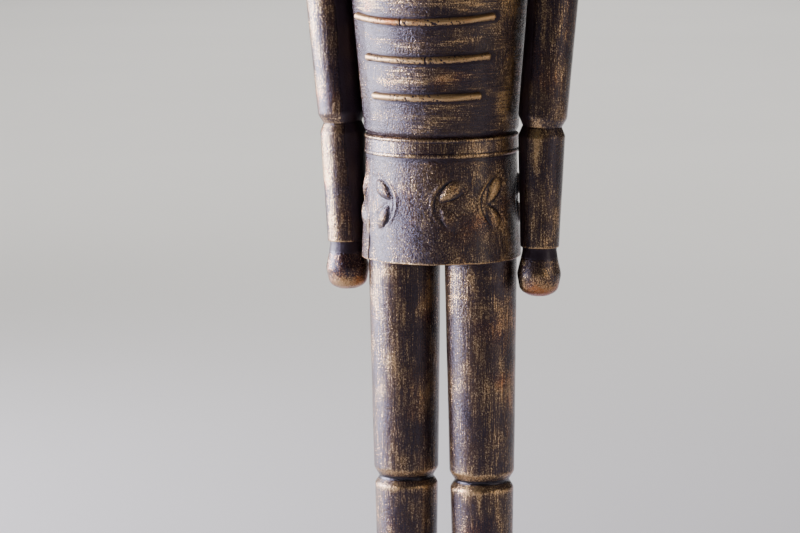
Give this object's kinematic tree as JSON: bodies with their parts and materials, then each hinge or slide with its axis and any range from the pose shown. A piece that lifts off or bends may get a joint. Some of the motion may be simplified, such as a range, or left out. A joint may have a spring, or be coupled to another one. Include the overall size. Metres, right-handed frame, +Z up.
{
  "type": "nutcracker figure",
  "caption": "Standing turned-wood soldier figure on a stepped base, with a lever-worked opening jaw and arms that swing at the shoulders, painted antique bronze.",
  "frame": {"origin": "centre of the base's underside, on the felt", "axes": "+Z up; the figure faces -Y; +X is the figure's own left"},
  "size_m": [0.1448, 0.104, 0.513],
  "materials": {
    "bronze_paint": "satin",
    "gold_trim": "satin",
    "bare_wood": "matte",
    "steel": "satin",
    "felt": "matte"
  },
  "bodies": {
    "figure": {"felt_pad": "felt", "base_plinth": "bronze_paint", "base_step": "bronze_paint", "base_screws": "steel", "leg_left": "bronze_paint", "leg_right": "bronze_paint", "boot_toe_left": "bronze_paint", "boot_toe_right": "bronze_paint", "hip_dowels": "bare_wood", "torso": "bronze_paint", "coat_skirt": "bronze_paint", "belt": "gold_trim", "chest_braid_1": "gold_trim", "chest_braid_2": "gold_trim", "chest_braid_3": "gold_trim", "chest_braid_4": "gold_trim", "collar_left": "gold_trim", "collar_right": "gold_trim", "neck_dowels": "bare_wood", "shoulder_pin_left": "bare_wood", "shoulder_pin_right": "bare_wood", "epaulette_left": "gold_trim", "epaulette_right": "gold_trim", "epaulette_fringe_left": "gold_trim", "epaulette_fringe_right": "gold_trim", "head": "bronze_paint", "nose": "bronze_paint", "moustache": "gold_trim", "eyebrows": "gold_trim", "eyes": "bronze_paint", "hair": "bronze_paint", "upper_teeth": "gold_trim", "jaw_pin": "steel", "hat_dowel": "bare_wood", "hat_body": "bronze_paint", "hat_band": "gold_trim", "hat_top_band": "gold_trim", "hat_visor": "bronze_paint", "hat_badge": "gold_trim", "hat_finial": "gold_trim"},
    "jaw": {"jaw": "bronze_paint", "lower_teeth": "gold_trim", "jaw_lever": "bronze_paint", "beard": "bronze_paint"},
    "left_arm": {"upper_arm_left": "bronze_paint", "forearm_left": "bronze_paint", "hand_left": "bronze_paint", "elbow_dowel_left": "bare_wood", "wrist_dowel_left": "bare_wood"},
    "right_arm": {"upper_arm_right": "bronze_paint", "forearm_right": "bronze_paint", "hand_right": "bronze_paint", "elbow_dowel_right": "bare_wood", "wrist_dowel_right": "bare_wood"}
  },
  "joints": [
    {"name": "jaw_hinge", "type": "hinge", "parent": "figure", "child": "jaw", "pos_m": [0, 0, 0.387], "axis": [1, 0, 0], "range_deg": [0, 20]},
    {"name": "left_shoulder", "type": "hinge", "parent": "figure", "child": "left_arm", "pos_m": [0.0566, 0, 0.356], "axis": [-1, 0, 0], "range_deg": [-30, 90]},
    {"name": "right_shoulder", "type": "hinge", "parent": "figure", "child": "right_arm", "pos_m": [-0.0566, 0, 0.356], "axis": [-1, 0, 0], "range_deg": [-30, 90]}
  ]
}
